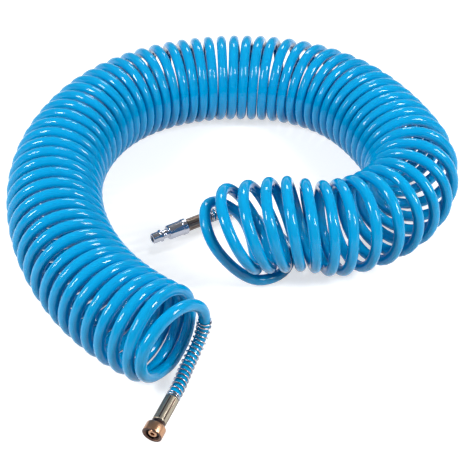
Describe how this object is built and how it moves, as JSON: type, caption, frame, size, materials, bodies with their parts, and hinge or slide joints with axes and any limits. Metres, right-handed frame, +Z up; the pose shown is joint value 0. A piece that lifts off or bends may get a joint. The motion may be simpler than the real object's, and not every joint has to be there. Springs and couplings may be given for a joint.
{
  "type": "coiled air hose",
  "caption": "Springy coiled air hose that lies in an open C, with guard springs, crimped ends, a threaded swivel nut at one end and a quick-release plug at the other.",
  "frame": {"origin": "on the floor under the centre of the laid hose's bounding box", "axes": "+Z up from the floor; +Y away from the viewer of the front, along the longer side of the laid C, whose threaded end lies nearest the viewer at -Y; +X to the viewer's right"},
  "size_m": [0.4253, 0.5074, 0.0975],
  "materials": {
    "hose_polyurethane": "glossy extruded polyurethane, slightly translucent",
    "spring_steel": "bright zinc-plated spring wire",
    "ferrule_pale_plated": "pale yellow zinc plate over steel, satin",
    "ferrule_dark_plated": "dark plated steel, satin",
    "brass": "turned brass",
    "nickel_plated_steel": "bright nickel plate over turned steel",
    "ring_steel": "spring steel wire",
    "black_rubber": "matte nitrile rubber",
    "black_plastic": "matte black plastic"
  },
  "bodies": {
    "hose": {"hose_coil": "hose_polyurethane", "hose_tail_nut_end": "hose_polyurethane", "hose_tail_plug_end": "hose_polyurethane", "nut_guard_spring": "spring_steel", "nut_ferrule": "ferrule_pale_plated", "nut_stem": "brass", "cone_o_ring": "black_rubber", "nut_slip_washer": "black_plastic", "plug_guard_spring": "spring_steel", "plug_ferrule": "ferrule_dark_plated", "plug_stem": "nickel_plated_steel", "plug_o_ring": "black_rubber", "plug_slip_washer": "black_plastic"},
    "nut": {"swivel_nut": "brass"},
    "plug": {"plug_nipple": "nickel_plated_steel", "plug_retaining_ring": "ring_steel"}
  },
  "joints": [
    {"name": "nut_swivel", "type": "hinge", "parent": "hose", "child": "nut", "pos_m": [-0.0652, -0.2505, 0.00845], "axis": [0.3886, 0.9155, 0.1045], "continuous": true},
    {"name": "plug_swivel", "type": "hinge", "parent": "hose", "child": "plug", "pos_m": [-0.07733, -0.01135, 0.0077], "axis": [0.8469, 0.5317, 0], "continuous": true}
  ]
}
